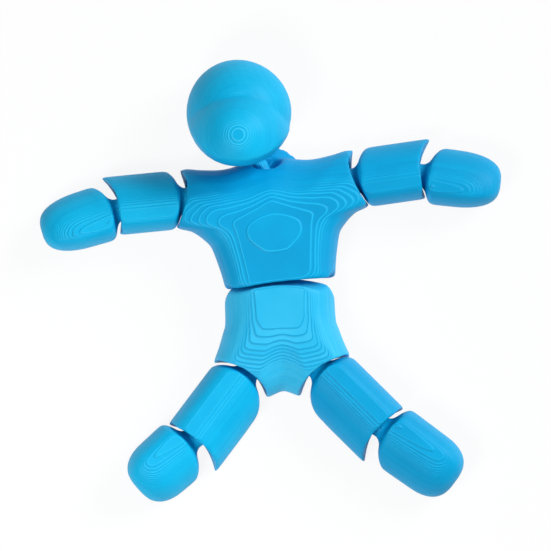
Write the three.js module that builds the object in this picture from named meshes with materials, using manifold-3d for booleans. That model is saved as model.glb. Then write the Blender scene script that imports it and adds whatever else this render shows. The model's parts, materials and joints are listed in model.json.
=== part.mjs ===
// Articulated figure printed in one plastic, lying on its back on a table.
// Millimetres, +Z up from the table, +Y towards the head, +X towards the figure's own left hand.
// Every joint is a ball on a short neck, one with the outer piece and held in a socket of the inner one.
import * as THREE from 'three';
import { mergeVertices } from 'three/addons/utils/BufferGeometryUtils.js';
import Module from 'manifold-3d';

const wasm = await Module();
wasm.setup();

// Joints: radius of each ball, of its neck and of the fillet where the neck meets its piece.
const JOINT_HEIGHT = 5.6;
const LIMB_JOINT = { ball: 4.1, neck: 2.6, fillet: 0.6 };
const HEAD_JOINT = { ball: 2.9, neck: 1.5, fillet: 1.4 };
const JOINT_CLEARANCE = 0.4;
const SEAT_DEPTH = 3.1;
const CUP_RADIUS = 12.5;
const NOSE_RADIUS = 10.5;
const HIP_CUP_RADIUS = 10.5;
const HIP_NOSE_RADIUS = 8.8;
const END_BULGE = 0.7;
const WAIST_BULGE = 1.5;

// Room between the hollow end of an inner piece and the round end of the outer one, at the joint's middle.
const SHOULDER_GAP = 1.4;
const ELBOW_GAP = 1.8;
const HIP_GAP = 1.4;
const KNEE_GAP = 2.2;
const WAIST_GAP = 0.88;

// How far each neck may lean in its socket, either way, in degrees.
const LIMB_LEAN = 19;
const NECK_LEAN = 18;
const WAIST_LEAN = 2;
const LIMB_END = { lean: LIMB_LEAN, bulge: END_BULGE };

// Pose on the table, in degrees: turn of the chest, then each piece's swing from the middle of its travel.
const CHEST_TURN = 6.6;
const WAIST_SWING = -4.2;
const NECK_SWING = 16.9;
const SHOULDER_SWING = { left: 6.4, right: 7 };
const ELBOW_SWING = { left: 10.5, right: 6.7 };
const HIP_SWING = { left: 6.6, right: 3.1 };
const KNEE_SWING = { left: 7.9, right: 10.6 };

// Chest, measured from the middle of the line between the shoulders.
const TORSO_HEIGHT = 13;
const TORSO_EDGE = 3.5;
const SHOULDER_OUT = 15.7;
const SHOULDER_DROP = 1.2;
const SHOULDER_RAISE = 7;
const NECK_PIVOT = 0.6;
const NECK_TOP = 5.6;
const NECK_STUB_HALF = 4.4;
const NECK_SLOPE_RUN = 2;
const SHOULDER_TOP = 5.7;
const SHOULDER_SAG = 1.14;
const SHOULDER_BOTTOM = 7.9;
const WAIST_DROP = 21;
const WAIST_HALF = 13;
const WAIST_CUP_RADIUS = 90;
const ARMPIT_DROP = 13.8;
const ARMPIT_RADIUS = 3.84;
const RIB_FLARE = 1.6;
const BREAST_HALF = 9;
const BREAST_WAIST_HALF = 7.1;
const BREAST_TOP = -3.5;
const BREAST_SIDE = -7.7;
const BELLY_CENTRE = -10.7;
const BELLY_HALF_WIDTH = 6.1;
const BELLY_HALF_LENGTH = 3.5;
const BELLY_STEP = 0.2;
const CHEST_SLOPE = 1.2;
const CHEST_SIDE_POWER = 4;
const CHEST_TOP_POWER = 2;
const SIDE_ENDS = 0.09;
const TOP_STARTS = 0.57;

// Pelvis, measured from the middle of its waist end.
const HIP_OUT = 5.2;
const HIP_DROP = 18.22;
const HIP_DIRECTION = 40;
const HIP_FLARE_HALF = 15.44;
const HIP_FLARE_DROP = 17.72;
const CROTCH_DROP = 25.72;
const CROTCH_HALF = 4.16;
const CROTCH_RISE = 1.84;
const WAIST_INSET = 0.3;
const PELVIS_CORNER = 5.5;
const PELVIS_NOSE_RADIUS = 36;
const LAP_HALF = 6.4;
const LAP_DROP = 11.5;
const LAP_CORNER = 2.2;
const PELVIS_SLOPE = 2;
const PELVIS_POWER = 3;

// Limbs: a section with a flat back, a crest towards the closing side and a long round flank to the other.
const ARM_WIDTH = 13.64;
const ARM_HEIGHT = 11.8;
const ARM_CREST = 3.1;
const UPPER_ARM_LENGTH = 15.44;
const HAND_REACH = 22.5;
const HAND_TIP = 10.16;
const LEG_WIDTH = 15.4;
const LEG_HEIGHT = 12.4;
const LEG_CREST = 3.4;
const THIGH_LENGTH = 19.6;
const FOOT_REACH = { left: 25.6, right: 21.6 };
const FOOT_TIP = 7.26;
const OPEN_EDGE = 2;
const CLOSED_EDGE = 3.4;
const BASE_CHAMFER = 0.8;
const TIP_HEIGHT = 4;
const TIP_SWEEP = 84;
const TIP_POWER = 0.62;
const HAND_TAPER = 0.04;
const FOOT_TAPER = 0.05;

// Angle between a limb's own length and the middle line of the joint at either end, in degrees.
const SHOULDER_SKEW = 1;
const ELBOW_SKEW = 8;
const HAND_SKEW = 3.3;
const THIGH_SKEW = 3.7;
const KNEE_SKEW = 4.9;
const FOOT_SKEW = 3.8;

// Head: a ball with a round face that bulges forward over its chin side and is cut steeply at the chin.
const HEAD_RADIUS = 12.1;
const HEAD_EGG = 0.03;
const HEAD_REACH = 17.44;
const HEAD_HEIGHT = 9.6;
const FACE_RADIUS = 12;
const FACE_DEPTH = 17;
const FACE_DROP = 5;
const FACE_SIDE = 2.2;
const CHIN_REACH = 0.5;
const CHIN_STEEPNESS = 3;

// Fineness of the facets.
const PLAN_RAYS = 120;
const CROWN_STEPS = 6;
const ROUND_SEGMENTS = 10;
const BALL_SEGMENTS = 16;
const BALL_STEPS = 5;
const FILLET_STEPS = 4;
const BULGE_STEPS = 4;
const WALL_FINENESS = 3.2;
const HEAD_SEGMENTS = 36;
const SECTION_STEPS = 7;
const TIP_STEPS = 8;

// Spare length that runs out past a cut and is cut away.
const OVERRUN = 10;

const TINY = 1e-6;
const DEG = Math.PI / 180;
const BLUE = 0x12aeea;
const SATIN = 0.5;

// Solids from geometry and back

function solidOf(geometry) {
  const bare = geometry.clone();
  bare.deleteAttribute('normal');
  bare.deleteAttribute('uv');
  const merged = mergeVertices(bare, TINY);
  const points = new Float32Array(merged.attributes.position.array);
  const triangles = withoutSlivers(merged.index.array);
  if (signedVolume(points, triangles) < 0) {
    triangles.reverse();
  }
  const triVerts = new Uint32Array(triangles);
  return new wasm.Manifold(new wasm.Mesh({ numProp: 3, vertProperties: points, triVerts }));
}

function withoutSlivers(index) {
  const kept = [];
  for (let i = 0; i < index.length; i += 3) {
    const [a, b, c] = [index[i], index[i + 1], index[i + 2]];
    if (a !== b && b !== c && c !== a) {
      kept.push(a, b, c);
    }
  }
  return kept;
}

function signedVolume(points, triangles) {
  const corner = (k) => new THREE.Vector3().fromArray(points, 3 * triangles[k]);
  let total = 0;
  for (let i = 0; i < triangles.length; i += 3) {
    total += corner(i).dot(corner(i + 1).cross(corner(i + 2)));
  }
  return total / 6;
}

function meshOf(name, solid) {
  const { vertProperties, triVerts } = solid.getMesh();
  const geometry = new THREE.BufferGeometry();
  geometry.setAttribute('position', new THREE.BufferAttribute(new Float32Array(vertProperties), 3));
  geometry.setIndex(new THREE.BufferAttribute(new Uint32Array(triVerts), 1));
  geometry.computeVertexNormals();
  const material = new THREE.MeshStandardMaterial({ color: BLUE, roughness: SATIN });
  const mesh = new THREE.Mesh(geometry, material);
  mesh.name = name;
  return mesh;
}

// A skin over rings of equally many points, closed at both ends by flat caps.
function loft(rings, flatten) {
  const count = rings[0].length;
  const points = rings.flat();
  const index = [];
  for (let r = 0; r + 1 < rings.length; r += 1) {
    for (let i = 0; i < count; i += 1) {
      const a = r * count + i;
      const b = r * count + ((i + 1) % count);
      index.push(a, b, b + count, a, b + count, a + count);
    }
  }
  const last = (rings.length - 1) * count;
  for (const [a, b, c] of THREE.ShapeUtils.triangulateShape(rings[0].map(flatten), [])) {
    index.push(c, b, a);
  }
  for (const [a, b, c] of THREE.ShapeUtils.triangulateShape(rings.at(-1).map(flatten), [])) {
    index.push(last + a, last + b, last + c);
  }
  const geometry = new THREE.BufferGeometry().setFromPoints(points);
  geometry.setIndex(index);
  return geometry;
}

// Joint tools, drawn with the joint's centre at the origin and its middle line along +X

// All that lies beyond a barrel wall, which bows towards the joint and bulges at the height of the ball.
function beyondWall(start, radius, bulge) {
  const profile = [new THREE.Vector2(0, -OVERRUN), new THREE.Vector2(radius - bulge, -OVERRUN)];
  for (let k = 0; k <= BULGE_STEPS; k += 1) {
    const share = (2 * k) / BULGE_STEPS - 1;
    profile.push(new THREE.Vector2(radius - bulge * share ** 2, JOINT_HEIGHT * (1 + share)));
  }
  const top = TORSO_HEIGHT + OVERRUN;
  profile.push(new THREE.Vector2(radius - bulge, top), new THREE.Vector2(0, top));
  const segments = 4 * Math.ceil((radius * WALL_FINENESS) / 4);
  const barrel = new THREE.LatheGeometry(profile, segments).rotateX(Math.PI / 2);
  const length = radius + OVERRUN;
  const block = new THREE.BoxGeometry(length, 2 * length, top + OVERRUN);
  block.translate(start + radius + length / 2, 0, (top - OVERRUN) / 2);
  return [barrel.translate(start + radius, 0, 0), block];
}

function upright(shape) {
  const depth = TORSO_HEIGHT + 2 * OVERRUN;
  const options = { depth, bevelEnabled: false, curveSegments: ROUND_SEGMENTS };
  return new THREE.ExtrudeGeometry(shape, options).translate(0, 0, -OVERRUN);
}

function turned(profile) {
  const geometry = new THREE.LatheGeometry(profile, BALL_SEGMENTS);
  return geometry.rotateZ(-Math.PI / 2).translate(0, 0, JOINT_HEIGHT);
}

function arcProfile(radius, endAngle) {
  const points = [];
  for (let i = 0; i <= BALL_STEPS; i += 1) {
    const angle = -Math.PI / 2 + ((endAngle + Math.PI / 2) * i) / BALL_STEPS;
    points.push(new THREE.Vector2(i === 0 ? 0 : radius * Math.cos(angle), radius * Math.sin(angle)));
  }
  return points;
}

// Ball, neck and the fillet that runs into an end lying root away from the joint's centre.
function ballAndNeck(root, { ball, neck, fillet }) {
  const profile = arcProfile(ball, Math.acos(neck / ball));
  for (let i = 0; i <= FILLET_STEPS; i += 1) {
    const angle = (Math.PI / 2) * (i / FILLET_STEPS);
    const radius = neck + fillet * (1 - Math.cos(angle));
    profile.push(new THREE.Vector2(radius, root - fillet + fillet * Math.sin(angle)));
  }
  profile.push(new THREE.Vector2(neck + fillet, root + ball));
  profile.push(new THREE.Vector2(0, root + ball));
  return turned(profile);
}

// Socket for the ball and a mouth that lets the neck lean by lean degrees.
function socket(lean, { ball, neck }) {
  const radius = ball + JOINT_CLEARANCE;
  const mouth = neck + JOINT_CLEARANCE;
  const angle = lean * DEG;
  const profile = arcProfile(radius, Math.acos(mouth / radius) - angle);
  const far = SEAT_DEPTH + CUP_RADIUS / 2;
  profile.push(new THREE.Vector2(mouth / Math.cos(angle) + far * Math.tan(angle), far));
  profile.push(new THREE.Vector2(0, far));
  return turned(profile);
}

function placed(geometry, x, y, degrees) {
  return geometry.rotateZ(degrees * DEG).translate(x, y, 0);
}

// Cuts a hollow end and its socket into an inner piece.
function withSocket(solid, { x, y, direction, lean, cup, bulge }, joint) {
  let cut = solid.subtract(solidOf(placed(socket(lean, joint), x, y, direction)));
  if (cup) {
    for (const tool of beyondWall(SEAT_DEPTH, cup, bulge)) {
      cut = cut.subtract(solidOf(placed(tool, x, y, direction)));
    }
  }
  return cut;
}

// Crowned torso pieces

function reach(loop, centre, angle) {
  const ray = new THREE.Vector2(Math.cos(angle), Math.sin(angle));
  let farthest = 0;
  for (let i = 0; i < loop.length; i += 1) {
    const a = loop[i].clone().sub(centre);
    const edge = loop[(i + 1) % loop.length].clone().sub(loop[i]);
    const cross = ray.cross(edge);
    const along = a.cross(edge) / cross;
    const share = a.cross(ray) / cross;
    if (Math.abs(cross) > TINY && along > farthest && share >= -TINY && share <= 1 + TINY) {
      farthest = along;
    }
  }
  return farthest;
}

// Flat on the back, upright, then rounding over to a plateau; power sets how square the shoulder is.
function crowned({ outline, plateau, centre, height, slope, power }) {
  const ring = (z, radius) => {
    const points = [];
    for (let i = 0; i < PLAN_RAYS; i += 1) {
      const angle = (2 * Math.PI * i) / PLAN_RAYS;
      const x = centre.x + radius(angle) * Math.cos(angle);
      const y = centre.y + radius(angle) * Math.sin(angle);
      points.push(new THREE.Vector3(x, y, z(angle)));
    }
    return points;
  };
  const outer = (angle) => reach(outline, centre, angle);
  const inner = (angle) => reach(plateau, centre, angle);
  const rings = [ring(() => 0, (angle) => outer(angle) - BASE_CHAMFER), ring(() => BASE_CHAMFER, outer)];
  for (let k = CROWN_STEPS; k >= 0; k -= 1) {
    const share = Math.sin(((Math.PI / 2) * k) / CROWN_STEPS);
    const fall = (angle) => {
      const round = 1 - Math.sqrt(1 - share ** power(angle));
      return height - slope * share - (height - TORSO_EDGE - slope) * round;
    };
    rings.push(ring(fall, (angle) => THREE.MathUtils.lerp(inner(angle), outer(angle), share)));
  }
  return { rings, ring };
}

const flatPlan = (point) => new THREE.Vector2(point.x, point.y);
const flatEnd = (point) => new THREE.Vector2(point.y, point.z);

// A loop that is alike on both sides, from the points of its +X half.
function mirrored(half) {
  const other = half.map((point) => new THREE.Vector2(-point.x, point.y)).reverse();
  return [...half, ...other];
}

function curveThrough(points) {
  const steps = 6 * points.length;
  return new THREE.SplineCurve(points.map(([x, y]) => new THREE.Vector2(x, y))).getPoints(steps);
}

function chestSolid() {
  const bottom = -SHOULDER_BOTTOM;
  const end = SHOULDER_OUT + CUP_RADIUS + OVERRUN / 3;
  const shoulderLine = curveThrough([
    [0, NECK_TOP],
    [NECK_STUB_HALF, NECK_TOP],
    [NECK_STUB_HALF + NECK_SLOPE_RUN, SHOULDER_TOP - SHOULDER_SAG / 2],
    [SHOULDER_OUT * 2 / 3, SHOULDER_TOP - SHOULDER_SAG],
    [SHOULDER_OUT, SHOULDER_TOP - SHOULDER_SAG / 2],
    [SHOULDER_OUT + SEAT_DEPTH, SHOULDER_TOP],
    [end, SHOULDER_TOP],
  ]);
  const armpitLine = curveThrough([
    [end, bottom + SEAT_DEPTH],
    [SHOULDER_OUT + 2 * SEAT_DEPTH, bottom],
    [SHOULDER_OUT + SEAT_DEPTH, bottom - ARMPIT_RADIUS / 4],
    [SHOULDER_OUT, bottom - ARMPIT_RADIUS],
    [WAIST_HALF + RIB_FLARE, -ARMPIT_DROP],
    [WAIST_HALF, -WAIST_DROP],
    [WAIST_HALF, -WAIST_DROP - OVERRUN / 2],
  ]);
  const breast = mirrored([
    new THREE.Vector2(0, BREAST_TOP),
    new THREE.Vector2(BREAST_HALF, BREAST_SIDE),
    new THREE.Vector2(BREAST_WAIST_HALF, -WAIST_DROP - OVERRUN / 4),
  ]);
  const oval = new THREE.EllipseCurve(0, BELLY_CENTRE, BELLY_HALF_WIDTH, BELLY_HALF_LENGTH);
  const belly = oval.getPoints(PLAN_RAYS);
  const centre = new THREE.Vector2(0, BELLY_CENTRE);
  const { rings, ring } = crowned({
    outline: mirrored([...shoulderLine, ...armpitLine]),
    plateau: breast,
    centre,
    height: TORSO_HEIGHT - BELLY_STEP,
    slope: CHEST_SLOPE,
    power: (angle) => {
      const upward = THREE.MathUtils.smoothstep(Math.sin(angle), SIDE_ENDS, TOP_STARTS);
      return THREE.MathUtils.lerp(CHEST_SIDE_POWER, CHEST_TOP_POWER, upward);
    },
  });
  rings.push(ring(() => TORSO_HEIGHT, (angle) => reach(belly, centre, angle)));
  let solid = solidOf(loft(rings, flatPlan));
  for (const side of [1, -1]) {
    const direction = side > 0 ? SHOULDER_RAISE : 180 - SHOULDER_RAISE;
    const place = { x: side * SHOULDER_OUT, y: -SHOULDER_DROP, direction };
    solid = withSocket(solid, { ...place, ...LIMB_END, cup: CUP_RADIUS }, LIMB_JOINT);
  }
  solid = withSocket(solid, { x: 0, y: NECK_PIVOT, direction: 90, lean: NECK_LEAN }, HEAD_JOINT);
  const place = { x: 0, y: SEAT_DEPTH - WAIST_DROP, direction: -90 };
  const waist = { ...place, lean: WAIST_LEAN, cup: WAIST_CUP_RADIUS, bulge: WAIST_BULGE };
  return withSocket(solid, waist, LIMB_JOINT);
}

// The pelvis is drawn upright, with its waist end at y = 0, then turned so that its end faces the joint.
function pelvisSolid() {
  const top = OVERRUN / 2;
  const side = curveThrough([
    [WAIST_HALF - WAIST_INSET, top],
    [WAIST_HALF - WAIST_INSET, -HIP_FLARE_DROP / 2],
    [WAIST_HALF + WAIST_INSET, -HIP_FLARE_DROP * 2 / 3],
    [HIP_FLARE_HALF, -HIP_FLARE_DROP],
    [HIP_FLARE_HALF + OVERRUN / 2, -HIP_FLARE_DROP - OVERRUN],
  ]);
  const arch = curveThrough([
    [2 * CROTCH_HALF, -CROTCH_DROP - OVERRUN / 2],
    [CROTCH_HALF, -CROTCH_DROP - CROTCH_RISE],
    [0, -CROTCH_DROP],
  ]);
  const lap = mirrored([
    new THREE.Vector2(0, top - LAP_CORNER / 2),
    new THREE.Vector2(LAP_HALF, top - LAP_CORNER / 2),
    new THREE.Vector2(LAP_HALF - LAP_CORNER / 4, LAP_CORNER - LAP_DROP),
    new THREE.Vector2(LAP_HALF - LAP_CORNER, -LAP_DROP),
    new THREE.Vector2(0, -LAP_DROP),
  ]);
  const { rings } = crowned({
    outline: mirrored([new THREE.Vector2(0, top), ...side, ...arch]),
    plateau: lap,
    centre: new THREE.Vector2(0, -LAP_DROP / 2),
    height: TORSO_HEIGHT,
    slope: PELVIS_SLOPE,
    power: () => PELVIS_POWER,
  });
  let solid = solidOf(loft(rings, flatPlan));
  for (const sign of [1, -1]) {
    const place = { x: sign * HIP_OUT, y: -HIP_DROP, direction: -90 + sign * HIP_DIRECTION };
    solid = withSocket(solid, { ...place, ...LIMB_END, cup: HIP_CUP_RADIUS }, LIMB_JOINT);
  }
  const root = SEAT_DEPTH + WAIST_GAP;
  const atWaist = (geometry) => solidOf(placed(geometry, 0, root, -90));
  const [barrel, block] = beyondWall(root, PELVIS_NOSE_RADIUS, WAIST_BULGE).map(atWaist);
  const corners = solidOf(placed(waistCorners(), 0, JOINT_CLEARANCE, -90));
  return solid.intersect(corners).intersect(barrel.add(block)).add(atWaist(ballAndNeck(root, LIMB_JOINT)));
}

// Plan that rounds the corners of the pelvis's waist end and stands clear of its middle, drawn along +X.
function waistCorners() {
  const half = WAIST_HALF + OVERRUN;
  const corner = WAIST_HALF - WAIST_INSET;
  const sag = PELVIS_NOSE_RADIUS - Math.sqrt(PELVIS_NOSE_RADIUS ** 2 - (corner - PELVIS_CORNER) ** 2);
  const far = CROTCH_DROP + OVERRUN;
  const shape = new THREE.Shape();
  const spread = Math.asin((corner - PELVIS_CORNER) / PELVIS_NOSE_RADIUS);
  shape.absarc(PELVIS_NOSE_RADIUS, 0, PELVIS_NOSE_RADIUS, Math.PI + spread, Math.PI - spread, true);
  shape.absarc(sag + PELVIS_CORNER, corner - PELVIS_CORNER, PELVIS_CORNER, Math.PI, Math.PI / 2, true);
  shape.lineTo(sag + PELVIS_CORNER, half);
  shape.lineTo(far, half);
  shape.lineTo(far, -half);
  shape.lineTo(sag + PELVIS_CORNER, -half);
  shape.absarc(sag + PELVIS_CORNER, PELVIS_CORNER - corner, PELVIS_CORNER, -Math.PI / 2, -Math.PI, true);
  return upright(shape);
}

// Limbs, drawn from the joint's centre along +X; side is the sign of Y on which the joint closes

function limbSection({ width, height, crest }, side) {
  const half = width / 2;
  const shape = new THREE.Shape();
  shape.moveTo(BASE_CHAMFER - half, 0);
  shape.lineTo(half - BASE_CHAMFER, 0);
  shape.lineTo(half, BASE_CHAMFER);
  shape.lineTo(half, CLOSED_EDGE);
  shape.absellipse(crest, CLOSED_EDGE, half - crest, height - CLOSED_EDGE, 0, Math.PI / 2);
  shape.absellipse(crest, OPEN_EDGE, half + crest, height - OPEN_EDGE, Math.PI / 2, Math.PI);
  shape.lineTo(-half, BASE_CHAMFER);
  const points = shape.getPoints(SECTION_STEPS);
  const distinct = points.filter((point, i) => i === 0 || point.distanceTo(points[i - 1]) > TINY);
  return side > 0 ? distinct : distinct.map((point) => new THREE.Vector2(-point.x, point.y)).reverse();
}

// Stations of a limb as [distance, scale]: straight, then closing in on a round tip where it has one.
function stations({ reach: total, tip, taper }) {
  const list = [[0, 1]];
  if (!tip) {
    list.push([total, 1]);
    return list;
  }
  for (let k = 0; k <= TIP_STEPS; k += 1) {
    const angle = (TIP_SWEEP * DEG * k) / TIP_STEPS;
    list.push([total - tip + tip * Math.sin(angle), (1 - taper) * Math.cos(angle) ** TIP_POWER]);
  }
  return list;
}

function limbSolid(limb, side) {
  const section = limbSection(limb, side);
  const rings = stations(limb).map(([distance, scale]) => section.map((point) => {
    const z = TIP_HEIGHT + (point.y - TIP_HEIGHT) * scale;
    return new THREE.Vector3(distance, point.x * scale, z);
  }));
  const root = SEAT_DEPTH + limb.gap;
  const blank = solidOf(placed(loft(rings, flatEnd), 0, 0, -side * limb.skew));
  const [barrel, block] = beyondWall(root, limb.nose, END_BULGE).map(solidOf);
  return blank.intersect(barrel.add(block)).add(solidOf(ballAndNeck(root, LIMB_JOINT)));
}

const ARM = { width: ARM_WIDTH, height: ARM_HEIGHT, crest: ARM_CREST };
const LEG = { width: LEG_WIDTH, height: LEG_HEIGHT, crest: LEG_CREST };
const UPPER_ARM = {
  ...ARM,
  reach: UPPER_ARM_LENGTH + CUP_RADIUS,
  gap: SHOULDER_GAP,
  nose: NOSE_RADIUS,
  skew: SHOULDER_SKEW,
  length: UPPER_ARM_LENGTH,
  endSkew: ELBOW_SKEW,
};
const HAND = {
  ...ARM,
  reach: HAND_REACH,
  tip: HAND_TIP,
  taper: HAND_TAPER,
  gap: ELBOW_GAP,
  nose: NOSE_RADIUS,
  skew: HAND_SKEW,
};
const THIGH = {
  ...LEG,
  reach: THIGH_LENGTH + CUP_RADIUS,
  gap: HIP_GAP,
  nose: HIP_NOSE_RADIUS,
  skew: THIGH_SKEW,
  length: THIGH_LENGTH,
  endSkew: KNEE_SKEW,
};
const FOOT = {
  ...LEG,
  tip: FOOT_TIP,
  taper: FOOT_TAPER,
  gap: KNEE_GAP,
  nose: NOSE_RADIUS,
  skew: FOOT_SKEW,
};

// Where the next joint lies on an upper arm or a thigh, and which way its middle line points.
function farJoint(limb, side) {
  const axis = -side * limb.skew * DEG;
  return {
    x: limb.length * Math.cos(axis),
    y: limb.length * Math.sin(axis),
    direction: side * (limb.endSkew - limb.skew),
    ...LIMB_END,
    cup: CUP_RADIUS,
  };
}

// Head, drawn from the neck joint along +X, with the crown at the far end

function headSolid() {
  const skull = new THREE.SphereGeometry(HEAD_RADIUS, HEAD_SEGMENTS, HEAD_SEGMENTS / 2);
  const skin = skull.attributes.position;
  for (let i = 0; i < skin.count; i += 1) {
    skin.setY(i, skin.getY(i) * (1 - (HEAD_EGG * skin.getX(i)) / HEAD_RADIUS));
  }
  const chin = skull.clone().scale(1, 1, CHIN_STEEPNESS).translate(-CHIN_REACH, 0, 0);
  const face = new THREE.SphereGeometry(1, HEAD_SEGMENTS, HEAD_SEGMENTS / 2).rotateX(Math.PI / 2);
  face.scale(FACE_RADIUS, FACE_RADIUS, FACE_DEPTH).translate(-FACE_DROP, FACE_SIDE, 0);
  const place = (geometry) => solidOf(geometry.translate(HEAD_REACH, 0, HEAD_HEIGHT));
  const table = new THREE.BoxGeometry(4 * HEAD_RADIUS, 4 * HEAD_RADIUS, 2 * HEAD_RADIUS);
  table.translate(HEAD_REACH, 0, -HEAD_RADIUS);
  const root = HEAD_REACH - HEAD_RADIUS + HEAD_JOINT.fillet;
  const lower = solidOf(table.clone().translate(0, 0, HEAD_HEIGHT));
  const bulge = place(face).intersect(place(chin)).subtract(lower);
  const round = place(skull).add(bulge).subtract(solidOf(table));
  return round.add(solidOf(ballAndNeck(root, HEAD_JOINT)));
}

// Assembly: each outer piece sits in a group turned about its joint, inside the group of the inner piece

function jointGroup(parent, { x, y, direction }, swing) {
  const group = new THREE.Group();
  group.position.set(x, y, 0);
  group.rotation.z = (direction + swing) * DEG;
  parent.add(group);
  return group;
}

function addLimb(parent, joint, swings, limbs, names, side) {
  const [near, far] = limbs;
  const nearGroup = jointGroup(parent, joint, side * swings[0]);
  const next = farJoint(near, side);
  nearGroup.add(meshOf(names[0], withSocket(limbSolid(near, side), next, LIMB_JOINT)));
  const farGroup = jointGroup(nearGroup, next, side * swings[1]);
  farGroup.add(meshOf(names[1], limbSolid(far, side)));
}

const chest = new THREE.Group();
chest.rotation.z = CHEST_TURN * DEG;
chest.add(meshOf('chest', chestSolid()));

const neck = jointGroup(chest, { x: 0, y: NECK_PIVOT, direction: 90 }, NECK_SWING);
neck.add(meshOf('head', headSolid()));

const waist = jointGroup(chest, { x: 0, y: SEAT_DEPTH - WAIST_DROP, direction: 0 }, WAIST_SWING);
const pelvis = new THREE.Group();
pelvis.position.y = -SEAT_DEPTH - WAIST_GAP;
waist.add(pelvis);
pelvis.add(meshOf('pelvis', pelvisSolid()));

for (const [name, sign] of [['left', 1], ['right', -1]]) {
  const shoulder = {
    x: sign * SHOULDER_OUT,
    y: -SHOULDER_DROP,
    direction: sign > 0 ? SHOULDER_RAISE : 180 - SHOULDER_RAISE,
  };
  const armSwings = [SHOULDER_SWING[name], ELBOW_SWING[name]];
  addLimb(chest, shoulder, armSwings, [UPPER_ARM, HAND], [`${name}_upper_arm`, `${name}_hand`], -sign);
  const hip = { x: sign * HIP_OUT, y: -HIP_DROP, direction: -90 + sign * HIP_DIRECTION };
  const legSwings = [HIP_SWING[name], KNEE_SWING[name]];
  const foot = { ...FOOT, reach: FOOT_REACH[name] };
  addLimb(pelvis, hip, legSwings, [THIGH, foot], [`${name}_thigh`, `${name}_foot`], sign);
}

// The origin lies on the table, below the middle of the figure's outline.
const figure = new THREE.Group();
figure.add(chest);
figure.updateMatrixWorld(true);
const middle = new THREE.Box3().setFromObject(figure, true).getCenter(new THREE.Vector3());
chest.position.set(-middle.x, -middle.y, 0);

export default figure;
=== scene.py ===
# %% [markdown]
# # A jointed figure printed in blue plastic
#
# The real figure lies on its back on a white table. It was printed lying there, in one colour and in thin
# flat layers, so every sloping top shows the edges of its layers like the lines on a map. The lesson takes
# the eleven solids of the frame, gives each the fine, slightly soft surface of the plastic, steps the
# sloping tops into real layers, and ends with the plastic's finish, the light and the camera.

# %% The frame and its box
import json
import math

import bpy
import numpy as np
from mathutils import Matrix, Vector
from mathutils.kdtree import KDTree


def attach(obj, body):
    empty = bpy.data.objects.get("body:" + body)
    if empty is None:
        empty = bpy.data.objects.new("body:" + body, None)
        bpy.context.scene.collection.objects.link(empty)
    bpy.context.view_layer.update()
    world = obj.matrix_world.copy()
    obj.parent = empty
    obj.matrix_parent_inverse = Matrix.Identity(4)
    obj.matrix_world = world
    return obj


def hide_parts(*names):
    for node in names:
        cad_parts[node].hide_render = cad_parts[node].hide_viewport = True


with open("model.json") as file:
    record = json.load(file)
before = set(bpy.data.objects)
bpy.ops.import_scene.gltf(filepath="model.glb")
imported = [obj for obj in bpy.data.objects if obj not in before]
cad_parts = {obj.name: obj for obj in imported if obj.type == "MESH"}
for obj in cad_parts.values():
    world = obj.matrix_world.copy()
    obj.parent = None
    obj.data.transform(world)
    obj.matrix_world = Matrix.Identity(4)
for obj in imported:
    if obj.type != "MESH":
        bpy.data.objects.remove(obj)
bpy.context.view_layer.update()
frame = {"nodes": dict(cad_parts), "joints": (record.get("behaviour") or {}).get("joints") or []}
MM = 0.001


# %% [markdown]
# ## A copy to work on
#
# A solid of the frame stays as it is, so each piece starts as a copy of one. The copy is loose triangles, and
# its doubled points are merged first, because a remesh or a smoothing would tear it open along every edge.
# One could also draw the eleven shapes again from primitives. The copy is better here: the balls, sockets
# and gaps of the joints are then exactly where the joints turn.

# %% Merge a copy of a solid
MERGE_WITHIN = 0.002 * MM


def only(piece):
    """Makes this piece the one selected and active object."""
    bpy.ops.object.select_all(action="DESELECT")
    piece.select_set(True)
    bpy.context.view_layer.objects.active = piece


def merged_copy(node):
    """A copy of a solid whose triangles hang together."""
    piece = bpy.data.objects.new(node + "_print", frame["nodes"][node].data.copy())
    bpy.context.scene.collection.objects.link(piece)
    only(piece)
    bpy.ops.object.mode_set(mode="EDIT")
    bpy.ops.mesh.select_all(action="SELECT")
    bpy.ops.mesh.remove_doubles(threshold=MERGE_WITHIN)
    bpy.ops.object.mode_set(mode="OBJECT")
    return piece


pieces = {node: merged_copy(node) for node in frame["nodes"]}
print("merged:", {node: len(piece.data.vertices) for node, piece in pieces.items()})

# %% [markdown]
# ## The neck's skirt
#
# Between the head and the shoulders the print spreads into a low ramp that closes the corner beside the neck.
# It could be an outline drawn round the neck and extruded, but a cone with a cut-off top is that ramp
# already. It stands on the table round the neck's joint, low enough to leave the ball of the neck free. It is
# joined to the chest here, and the remesh that follows melts the two into one skin.

# %% Join a low cone to the chest
SKIRT_RADIUS = 8.2 * MM
SKIRT_TOP_RADIUS = 5.7 * MM
SKIRT_HEIGHT = 2.5 * MM
SKIRT_SIDES = 96
neck = next(joint for joint in frame["joints"] if joint["name"] == "neck")["pos_m"]
bpy.ops.object.select_all(action="DESELECT")
bpy.ops.mesh.primitive_cone_add(
    vertices=SKIRT_SIDES, radius1=SKIRT_RADIUS, radius2=SKIRT_TOP_RADIUS, depth=SKIRT_HEIGHT,
    location=(neck[0], neck[1], SKIRT_HEIGHT / 2)
)
bpy.ops.object.transform_apply(location=True)
pieces["chest"].select_set(True)
bpy.context.view_layer.objects.active = pieces["chest"]
bpy.ops.object.join()
print("skirt joined to", pieces["chest"].name)

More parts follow.
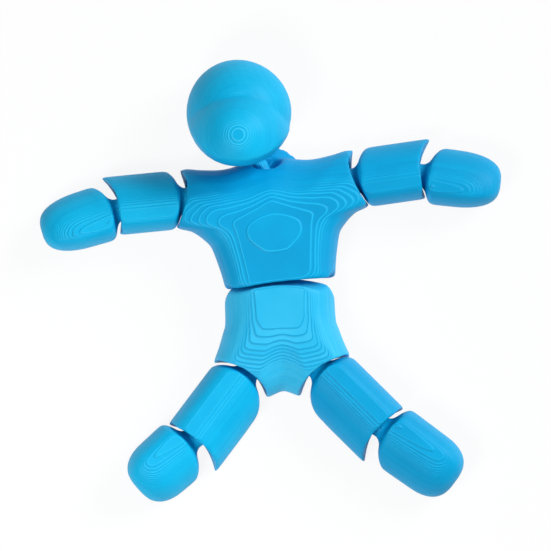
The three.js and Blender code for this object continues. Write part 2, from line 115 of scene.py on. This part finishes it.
# %% [markdown]
# ## From facets to a fine skin
#
# The solids have broad facets, and the print has none that one can see. A Subdivision Surface could round
# them, but on the long thin triangles of a solid it leaves dents. So a voxel remesh lays an even net of small
# squares over each piece, and three rounds of a Smooth modifier melt the facets together. The first works
# only near upright corners, because the nozzle rounds every corner as it turns. The second works everywhere
# but near the level rims of the joint ends, which are crisp on the print. The third is short and softens
# everything a little. Vertex groups say where the first two work. The head has neither rims nor corners,
# because its face runs into the skull without an edge.

# %% Find the rims and corners of a piece
POINT_STEP = 0.24 * MM
EDGE_ANGLE = math.radians(42)
# An edge that climbs more than this share of its length belongs to an upright corner.
UPRIGHT = 0.45
# A rim that ends in a corner is rounded with it, this far along.
CORNER_ROUND = 1.6 * MM


def points_along(a, b):
    """Points from a to b, about one step apart."""
    steps = max(1, round((b - a).length / POINT_STEP))
    return [a.lerp(b, k / steps) for k in range(steps + 1)]


def point_tree(points):
    """A tree that finds the nearest of these points."""
    tree = KDTree(len(points))
    for i, point in enumerate(points):
        tree.insert(point, i)
    tree.balance()
    return tree


def edge_points(piece):
    """Points along the edges that are sharper than a facet's, on level rims and on upright corners."""
    only(piece)
    bpy.ops.object.mode_set(mode="EDIT")
    bpy.ops.mesh.select_mode(type="EDGE")
    bpy.ops.mesh.select_all(action="DESELECT")
    bpy.ops.mesh.edges_select_sharp(sharpness=EDGE_ANGLE)
    bpy.ops.object.mode_set(mode="OBJECT")
    rims, corners = [], []
    for edge in piece.data.edges:
        if edge.select:
            a, b = (piece.data.vertices[i].co for i in edge.vertices)
            upright = abs((b - a).normalized().z) > UPRIGHT
            (corners if upright else rims).extend(points_along(a, b))
    tree = point_tree(corners)
    rims = [point for point in rims if not corners or tree.find(point)[2] > CORNER_ROUND]
    return rims, corners


edges = {node: ([], []) if node == "head" else edge_points(piece) for node, piece in pieces.items()}
print("points on rims and corners:", {node: [len(points) for points in both] for node, both in edges.items()})

# %% Remesh and smooth
NET = 0.24 * MM
# The largest pieces take a wider net, so that each stays under 200,000 triangles.
WIDE_NET = {"chest": 0.34 * MM, "pelvis": 0.28 * MM, "head": 0.26 * MM}
# A group has one weight this far from an edge, and then fades to the other over this length.
EDGE_KEEP = 0.5 * MM
EDGE_FADE = 1.6 * MM
CORNER_PASSES, MELT_PASSES, LAST_PASSES = 50, 30, 7
PASS_FACTOR = 0.5


def apply_modifier(piece, kind, **settings):
    """Adds a modifier with these settings and applies it."""
    only(piece)
    modifier = piece.modifiers.new(kind.title(), kind)
    for name, value in settings.items():
        setattr(modifier, name, value)
    bpy.ops.object.modifier_apply(modifier=modifier.name)


def add_group(piece, name, points, near, far):
    """A vertex group that goes from one weight at these points to another well away from them."""
    tree = point_tree(points)
    group = piece.vertex_groups.new(name=name)
    for vertex in piece.data.vertices:
        away = (tree.find(vertex.co)[2] - EDGE_KEEP) / EDGE_FADE if points else 1.0
        share = min(1.0, max(0.0, away))
        group.add([vertex.index], near + (far - near) * share, "REPLACE")


for node, piece in pieces.items():
    rims, corners = edges[node]
    net = WIDE_NET.get(node, NET)
    apply_modifier(piece, "REMESH", mode="VOXEL", voxel_size=net)
    add_group(piece, "corner", corners, near=1, far=0)
    add_group(piece, "melt", rims, near=0, far=1)
    for passes, group in ((CORNER_PASSES, "corner"), (MELT_PASSES, "melt"), (LAST_PASSES, "")):
        # A pass of smoothing reaches as far as the net is wide, so a wider net takes fewer passes.
        passes = round(passes * (NET / net) ** 2)
        apply_modifier(piece, "SMOOTH", factor=PASS_FACTOR, iterations=passes, vertex_group=group)
    piece.vertex_groups.clear()
print("skin:", {node: len(piece.data.polygons) for node, piece in pieces.items()})

# %% [markdown]
# ## A finer net on the tops
#
# The layers that come next are only 0.2 mm high, and on this net their edges would look frayed. The whole
# piece could have a net half as wide, but most of its squares would then lie on the sides and in the sockets,
# where there is nothing to show. So only the squares that look upwards are split.

# %% Split the squares on the tops
# A square looks upwards when its normal's upward share is above this.
TOP_SIDE = 0.35


def refine_top(piece):
    """Splits the squares that look upwards into four each."""
    only(piece)
    for polygon in piece.data.polygons:
        polygon.select = polygon.normal.z > TOP_SIDE
    bpy.ops.object.mode_set(mode="EDIT")
    bpy.ops.mesh.select_mode(type="FACE")
    bpy.ops.mesh.subdivide(number_cuts=1)
    bpy.ops.object.mode_set(mode="OBJECT")


for piece in pieces.values():
    refine_top(piece)
print("refined:", {node: len(piece.data.polygons) for node, piece in pieces.items()})

# %% [markdown]
# ## Printed layers
#
# The printer can only lay flat layers, so a gentle slope becomes a stair whose treads are one layer high. On
# the chest, the lap and the face these treads are the rings and contour lines that one sees first. A bump in
# the finish could hint at them, but real steps also catch the light and the shadow. So they are made in the
# mesh: each point is drawn to the height of its layer, and the riser between two treads is equally wide on
# every slope, so that the lines stay crisp. Where the treads would be narrower than a riser the stair ends,
# and the finish draws the lines instead. The nozzle goes round the rim of a layer first, and that bead
# catches
# the light: the finish paints its highlight as a lighter tone, and on the pelvis its shade as a darker one.
# For that, each point also remembers which layer it lies in, how wide the tread is there, and how strongly
# the painted bead shows.

# %% Step the slopes into layers
LAYER = 0.2 * MM
# The width of a riser, seen from above.
RISER = 0.3 * MM
# The layers are counted from this far below the table, which sets where their lines fall.
LAYER_OFFSET = 0.13 * MM
# How strongly the painted highlight and shade of the beads show.
TORSO_PAINTED_BEAD, LIMB_PAINTED_BEAD = 1.0, 0.35
# The smallest half of a riser, as a share of its layer.
LEAST_RISER = 0.02
# A normal's upward share, from where the stair begins to where it is complete.
STEEP, SLOPING = 0.2, 0.45
# These keep a division by nothing away on upright walls and on level tops.
LEAST_UPWARD = 0.05
LEAST_SLOPE = 0.001


def smoothstep(low, high, value):
    """Goes softly from 0 at low to 1 at high."""
    share = np.clip((value - low) / (high - low), 0, 1)
    return share * share * (3 - 2 * share)


def remember(mesh, name, values):
    """Stores a number with each point, for the finish to read."""
    mesh.attributes.new(name, "FLOAT", "POINT").data.foreach_set("value", values.astype(np.float32))


def step_into_layers(piece, shown):
    """Draws every point on the upper side to its layer; shown says how strongly the beads are drawn."""
    mesh = piece.data
    count = len(mesh.vertices)
    places = np.empty(count * 3, np.float32)
    normals = np.empty(count * 3, np.float32)
    mesh.vertices.foreach_get("co", places)
    mesh.vertex_normals.foreach_get("vector", normals)
    height, upward = places[2::3].astype(float), normals[2::3]
    slope = np.hypot(normals[0::3], normals[1::3]) / np.maximum(upward, LEAST_UPWARD)
    layer = (height + LAYER_OFFSET) / LAYER
    below = np.floor(layer)
    half = np.clip(0.5 * RISER * slope / LAYER, LEAST_RISER, 0.5)
    rise = smoothstep(0.5 - half, 0.5 + half, layer - below)
    stepped = LAYER * (below + rise) - LAYER_OFFSET
    keep = smoothstep(STEEP, SLOPING, upward) * (half < 0.5)
    places[2::3] = height + (stepped - height) * keep
    mesh.vertices.foreach_set("co", places)
    remember(mesh, "level", layer)
    remember(mesh, "tread", LAYER / np.maximum(slope, LEAST_SLOPE))
    # stepped also says how strongly the bead's painted highlight and shade show here.
    remember(mesh, "stepped", shown * keep)
    mesh.update()


for node, piece in pieces.items():
    step_into_layers(piece, TORSO_PAINTED_BEAD if node in ("head", "chest", "pelvis") else LIMB_PAINTED_BEAD)
    only(piece)
    bpy.ops.object.shade_smooth()
print("layers of", LAYER / MM, "mm stepped into", len(pieces), "pieces")

# %% [markdown]
# ## The plastic
#
# The figure is PLA, a plastic with a soft satin gloss, laid down hot in thin strokes. Its blue is in the
# plastic itself. Each layer is a little lighter or darker than the next, fine lines run round the steep walls
# where one layer lies on another, and on the sloping tops the bead at the rim of each layer stands out with a
# painted highlight, and on the pelvis with a painted shade. The plastic comes in three copies whose tones are
# painted lighter or darker for the light that falls on each piece. A painted picture could hold all this, but
# it would have to be unwrapped onto every piece. The patterns follow height and layer alone, so they are
# worked out from the place of a point and from what it remembers.


# %% Colours and nodes
def linear(hex_colour):
    """An sRGB hex colour as the linear colour that a shader takes."""
    channels = [int(hex_colour[i:i + 2], 16) / 255 for i in (1, 3, 5)]
    return [c / 12.92 if c <= 0.04045 else ((c + 0.055) / 1.055) ** 2.4 for c in channels] + [1.0]


def add_node(tree, kind, links=None, **settings):
    """Adds a node; links gives its inputs a value or another node's output."""
    node = tree.nodes.new(kind)
    for name, value in settings.items():
        setattr(node, name, value)
    for socket, value in (links or {}).items():
        if isinstance(value, bpy.types.NodeSocket):
            tree.links.new(value, node.inputs[socket])
        else:
            node.inputs[socket].default_value = value
    return node


WHITE = linear("#FFFFFF")
print("white as a shader takes it:", WHITE)

# %% A tone for each layer
TONE_LENGTH = 25 * MM
CLOUD_SIZE = 9 * MM
# The sums of the two noises that give the dark and the light tone.
TONE_LOW, TONE_HIGH = 0.75, 1.25
# A Mix node has sockets for every kind of value; these are the ones for colours.
MIX_SHARE, MIX_FIRST, MIX_SECOND, MIX_RESULT = 0, 6, 7, 2


def layer_tone(tree, place, dark, light):
    """The colour of the strokes, which changes from layer to layer and, more slowly, along them."""
    # The noise is squeezed flat, so that it changes every second layer.
    flat = (1 / TONE_LENGTH, 1 / TONE_LENGTH, 1 / (2 * LAYER))
    squeeze = add_node(tree, "ShaderNodeMapping", {"Vector": place, "Scale": flat})
    tone = add_node(tree, "ShaderNodeTexNoise", {"Vector": squeeze.outputs[0], "Scale": 1.0, "Detail": 2.0})
    cloud = add_node(tree, "ShaderNodeTexNoise", {"Vector": place, "Scale": 1 / CLOUD_SIZE, "Detail": 3.0})
    both = {0: tone.outputs["Fac"], 1: cloud.outputs["Fac"]}
    blend = add_node(tree, "ShaderNodeMath", both, operation="ADD")
    spread = {"Value": blend.outputs[0], "From Min": TONE_LOW, "From Max": TONE_HIGH}
    share = add_node(tree, "ShaderNodeMapRange", spread)
    shades = {MIX_SHARE: share.outputs[0], MIX_FIRST: linear(dark), MIX_SECOND: linear(light)}
    return add_node(tree, "ShaderNodeMix", shades, data_type="RGBA").outputs[MIX_RESULT]


print("tones:", 2 * LAYER / MM, "mm high and", TONE_LENGTH / MM, "mm long")

# %% The bead at the rim of a layer
BEAD = 0.36 * MM
# The width over which a bead begins and ends.
BEAD_EDGE = 0.1 * MM


def bead_painted_light_mask(tree):
    """How much a point belongs to the bead, from what it remembers of its layer; it places the bead's painted
    highlight and shade.
    """
    level, tread, stepped = (
        add_node(tree, "ShaderNodeAttribute", attribute_name=memory).outputs["Fac"]
        for memory in ("level", "tread", "stepped")
    )
    # How far a point lies inside the rim is its share of the tread times the tread's width.
    above = add_node(tree, "ShaderNodeMath", {0: level, 1: 0.5}, operation="SUBTRACT")
    part = add_node(tree, "ShaderNodeMath", {0: above.outputs[0]}, operation="FRACT")
    inside = add_node(tree, "ShaderNodeMath", {0: part.outputs[0], 1: tread}, operation="MULTIPLY").outputs[0]
    # On a narrow tread the bead takes half of it, and it fades where the treads are finer than the eye sees.
    half = add_node(tree, "ShaderNodeMath", {0: tread, 1: 0.5}, operation="MULTIPLY")
    width = add_node(tree, "ShaderNodeMath", {0: half.outputs[0], 1: BEAD}, operation="MINIMUM").outputs[0]
    edge = add_node(tree, "ShaderNodeMath", {0: width, 1: BEAD_EDGE}, operation="ADD").outputs[0]
    begins = {"Value": inside, "From Min": 0.0, "From Max": BEAD_EDGE}
    ends = {"Value": inside, "From Min": width, "From Max": edge, "To Min": 1.0, "To Max": 0.0}
    room = {"Value": tread, "From Min": BEAD, "From Max": 2 * BEAD}
    bead = stepped
    for limits in (begins, ends, room):
        share = add_node(tree, "ShaderNodeMapRange", limits, interpolation_type="SMOOTHSTEP").outputs[0]
        bead = add_node(tree, "ShaderNodeMath", {0: bead, 1: share}, operation="MULTIPLY").outputs[0]
    return bead


print("bead:", BEAD / MM, "mm wide")

# %% Lines round the walls
# The bands of a Wave texture are this far apart at a scale of 1.
WAVE_PERIOD = math.tau / 20
# The lines are drawn twice as coarse as the layers, because the real ones are finer than a pixel.
LINE_SPACING = 2 * LAYER
LINE_DEPTH = 0.03 * MM
LINE_STRENGTH = 0.25


def layer_lines(tree, place):
    """A bump of level lines."""
    bands = {"Vector": place, "Scale": WAVE_PERIOD / LINE_SPACING}
    lines = add_node(tree, "ShaderNodeTexWave", bands, bands_direction="Z")
    ridges = {"Height": lines.outputs["Fac"], "Strength": LINE_STRENGTH, "Distance": LINE_DEPTH}
    return add_node(tree, "ShaderNodeBump", ridges).outputs[0]


print("lines:", LINE_SPACING / MM, "mm apart")


# %% The plastic in three tones
def printed_pla(name, dark, light, rim):
    """Satin PLA: strokes between a dark and a light tone, and beads in the rim's tone, a painted highlight
    where it is lighter than the strokes and a painted shade where it is darker.
    """
    material = bpy.data.materials.new(name)
    material.use_nodes = True
    tree = material.node_tree
    shader = tree.nodes["Principled BSDF"]
    place = add_node(tree, "ShaderNodeTexCoord").outputs["Object"]
    strokes = layer_tone(tree, place, dark, light)
    # The bead mask mixes in the rim's tone: a painted highlight, and a painted shade on the pelvis.
    shades = {MIX_SHARE: bead_painted_light_mask(tree), MIX_FIRST: strokes, MIX_SECOND: linear(rim)}
    colour = add_node(tree, "ShaderNodeMix", shades, data_type="RGBA").outputs[MIX_RESULT]
    tree.links.new(colour, shader.inputs["Base Color"])
    tree.links.new(layer_lines(tree, place), shader.inputs["Normal"])
    # Solid PLA has an IOR of about 1.46. The ridges of the strokes break up its gloss, so it is lower here.
    shader.inputs["Roughness"].default_value = 0.5
    shader.inputs["Specular IOR Level"].default_value = 0.5
    shader.inputs["IOR"].default_value = 1.25
    return material


# Each piece takes one of three copies of the plastic, whose tones paint the light and shade that fall on it.
# along is the shaded copy, for the chest and the left-hand pieces; across is the lit copy, for the head and
# the right-hand pieces; square is the palest, with a painted sheen, for the pelvis, and the beads at its
# layers' rims are painted dark as shade lines.
along = printed_pla("blue_pla_painted_shade", "#009ED5", "#00A8DE", "#18BAED")
across = printed_pla("blue_pla_painted_light", "#00AFE3", "#0CB9EA", "#34C9F5")
square = printed_pla("blue_pla_painted_sheen", "#26B9E9", "#3AC2EF", "#14A6DA")
# finish picks each piece's copy with painted light and shade; pieces not listed take the shaded copy.
finish = {"pelvis": square, "head": across}
finish.update({node: across for node in pieces if node.startswith("right_")})
for node, piece in pieces.items():
    piece.data.materials.clear()
    piece.data.materials.append(finish.get(node, along))
    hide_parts(node)
    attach(piece, node)
print("plastic:", {node: piece.data.materials[0].name for node, piece in pieces.items()})

# %% [markdown]
# ## The table
#
# The table is a plain white sheet. More light would make it white too, but it would also bleach the figure.
# So the sheet adds white of its own, only for the rays that come from the eye or from a reflection, and the
# rest of it stays a card that is lit like the figure and keeps its shadow.

# %% A white sheet
TABLE_SIDE = 4
TABLE_DROP = 0.02 * MM
# The share of plain white in what is seen of the sheet.
SEEN_WHITE = 0.9
bpy.ops.object.select_all(action="DESELECT")
bpy.ops.mesh.primitive_plane_add(size=TABLE_SIDE, location=(0, 0, -TABLE_DROP))
table = bpy.context.object
table.name = "table"
# White card is matt: it shows a soft shadow and no gloss.
paper = bpy.data.materials.new("white_card")
paper.use_nodes = True
tree = paper.node_tree
card = tree.nodes["Principled BSDF"]
card.inputs["Base Color"].default_value = linear("#F4F5F6")
card.inputs["Roughness"].default_value = 0.9
rays = add_node(tree, "ShaderNodeLightPath").outputs
seen = rays["Is Camera Ray"]
for ray in ("Is Glossy Ray", "Is Transmission Ray"):
    seen = add_node(tree, "ShaderNodeMath", {0: seen, 1: rays[ray]}, operation="MAXIMUM").outputs[0]
share = add_node(tree, "ShaderNodeMath", {0: seen, 1: SEEN_WHITE}, operation="MULTIPLY").outputs[0]
glow = add_node(tree, "ShaderNodeEmission", {"Color": WHITE, "Strength": 1.0}).outputs[0]
mix = add_node(tree, "ShaderNodeMixShader", {0: share, 1: card.outputs[0], 2: glow})
tree.links.new(mix.outputs[0], tree.nodes["Material Output"].inputs["Surface"])
table.data.materials.append(paper)
print("table:", TABLE_SIDE, "m wide")

# %% [markdown]
# ## Light and camera
#
# The light on the real figure is soft and comes from over its left shoulder. A large lamp there gives it, and
# a pale sky fills the shadows. A small lamp near the figure's right foot pales the legs and the arm on that
# side a little. A sun would also light the figure, but its shadows would be hard. The camera looks straight
# down from far off, so that hardly any side shows.

# %% Light
SKY_STRENGTH = 0.24
world = bpy.data.worlds.new("sky")
bpy.context.scene.world = world
world.use_nodes = True
world.node_tree.nodes["Background"].inputs["Color"].default_value = WHITE
world.node_tree.nodes["Background"].inputs["Strength"].default_value = SKY_STRENGTH


def soft_lamp(name, place, size, watts):
    """A square lamp that looks at the middle of the figure; its place and size are in metres."""
    bpy.ops.object.light_add(type="AREA", location=place)
    lamp = bpy.context.object
    lamp.name = name
    lamp.data.size = size
    lamp.data.energy = watts
    lamp.rotation_euler = (-Vector(place)).to_track_quat("-Z", "Y").to_euler()
    print("lamp:", name, watts, "W")


soft_lamp("window", place=(1.30, 0.88, 0.95), size=0.9, watts=28.5)
soft_lamp("foot_lamp", place=(-0.10, -0.12, 0.24), size=0.08, watts=0.42)
bpy.context.scene.view_settings.view_transform = "Standard"

# %% Camera
# What one pixel of the picture shows of the figure.
PIXEL = 0.23 * MM
IMAGE_WIDTH = 551
SENSOR_WIDTH = 36
CAMERA_HEIGHT = 2.4
LOOK_AT = (1.15 * MM, 1.27 * MM, 6 * MM)
bpy.ops.object.camera_add(location=(LOOK_AT[0], LOOK_AT[1], LOOK_AT[2] + CAMERA_HEIGHT), rotation=(0, 0, 0))
camera = bpy.context.object
camera.data.sensor_width = SENSOR_WIDTH
camera.data.lens = SENSOR_WIDTH * CAMERA_HEIGHT / (PIXEL * IMAGE_WIDTH)
bpy.context.scene.camera = camera
print("lens:", round(camera.data.lens, 1), "mm")
